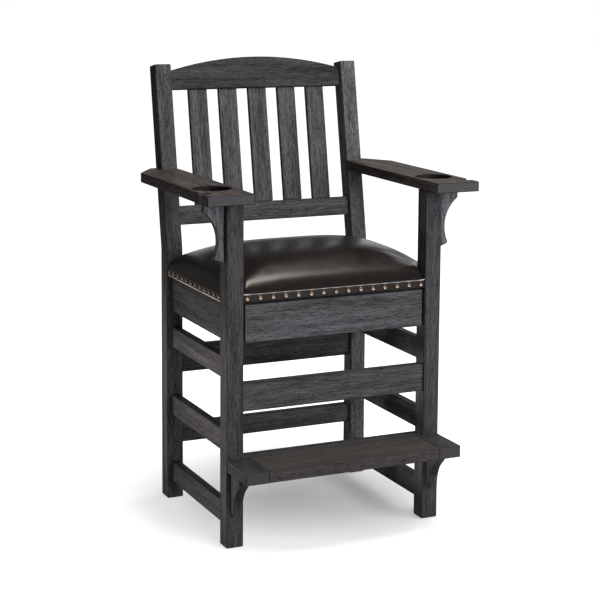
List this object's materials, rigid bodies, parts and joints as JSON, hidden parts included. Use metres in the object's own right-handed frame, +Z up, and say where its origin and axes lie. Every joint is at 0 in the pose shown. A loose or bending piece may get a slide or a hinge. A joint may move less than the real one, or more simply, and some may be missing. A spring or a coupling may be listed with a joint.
{
  "type": "billiard spectator chair",
  "caption": "Tall wooden spectator armchair with a raked slat back, nailed leather seat, drawer under the seat, footrest, and arms with a cup recess and a cue notch.",
  "frame": {"origin": "on the floor, under the middle of the whole chair's extents", "axes": "+X to the right of somebody who looks at the chair's front, +Y to the back of the chair, +Z up"},
  "size_m": [0.7578, 0.6966, 1.2124],
  "materials": {
    "black_wood": "black stain on open grain, satin",
    "drawer_wood": "plain hardwood, thin clear lacquer",
    "plywood": "birch plywood, unfinished",
    "leather": "smooth black upholstery leather, semi-gloss",
    "nylon": "moulded nylon, matt"
  },
  "bodies": {
    "chair": {"arm_corbel_left": "black_wood", "arm_corbel_right": "black_wood", "arm_left": "black_wood", "arm_right": "black_wood", "back_slat_1": "black_wood", "back_slat_2": "black_wood", "back_slat_3": "black_wood", "back_slat_4": "black_wood", "back_slat_5": "black_wood", "corner_block_left": "drawer_wood", "corner_block_right": "drawer_wood", "crest_rail": "black_wood", "drawer_runner_left": "drawer_wood", "drawer_runner_right": "drawer_wood", "foot_glide_front_left": "nylon", "foot_glide_front_right": "nylon", "foot_glide_rear_left": "nylon", "foot_glide_rear_right": "nylon", "footrest_board": "black_wood", "footrest_bracket_left": "black_wood", "footrest_bracket_right": "black_wood", "footrest_end_left": "black_wood", "footrest_end_right": "black_wood", "footrest_rail": "black_wood", "front_post_left": "black_wood", "front_post_right": "black_wood", "front_stretcher": "black_wood", "lower_back_rail": "black_wood", "rear_apron": "black_wood", "rear_post_left": "black_wood", "rear_post_right": "black_wood", "rear_stretcher_lower": "black_wood", "rear_stretcher_upper": "black_wood", "seat_band_front": "leather", "seat_band_left": "leather", "seat_band_rear": "leather", "seat_band_right": "leather", "seat_cushion": "leather", "seat_deck": "plywood", "side_apron_left": "black_wood", "side_apron_right": "black_wood", "side_stretcher_lower_left": "black_wood", "side_stretcher_lower_right": "black_wood", "side_stretcher_middle_left": "black_wood", "side_stretcher_middle_right": "black_wood", "side_stretcher_upper_left": "black_wood", "side_stretcher_upper_right": "black_wood"},
    "drawer": {"drawer_back": "drawer_wood", "drawer_bottom": "plywood", "drawer_front": "black_wood", "drawer_side_left": "drawer_wood", "drawer_side_right": "drawer_wood"}
  },
  "joints": [
    {"name": "drawer_slide", "type": "slide", "parent": "chair", "child": "drawer", "axis": [0, -1, 0], "range_m": [0, 0.26]}
  ]
}
